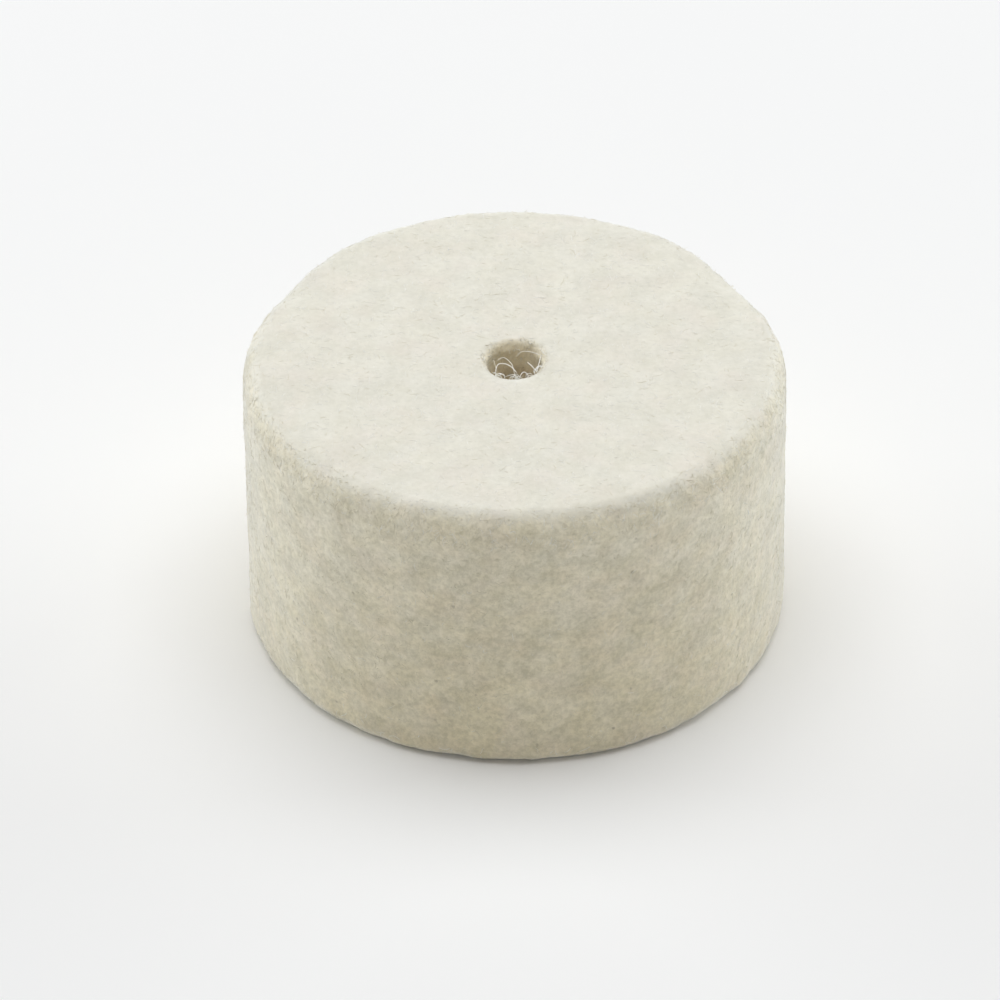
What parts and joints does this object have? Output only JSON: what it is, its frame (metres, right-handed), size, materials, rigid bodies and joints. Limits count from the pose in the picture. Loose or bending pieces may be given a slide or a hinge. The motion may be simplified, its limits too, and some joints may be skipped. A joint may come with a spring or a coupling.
{
  "type": "felt polishing wheel",
  "caption": "Short, thick disc of pressed wool felt with softly rounded rims and a small bore on its axis for a mandrel, used to bring stones to a final polish.",
  "frame": {"origin": "centre of the base face, on the axis of the bore", "axes": "+Z along the bore from the base face to the top face; X and Y lie in the base face and are interchangeable, because the wheel is a body of revolution"},
  "size_m": [0.025, 0.025, 0.014],
  "materials": {
    "wool_felt": "matt, fuzzy, undyed pressed wool"
  },
  "bodies": {
    "root": {"felt_wheel": "wool_felt"}
  },
  "joints": []
}
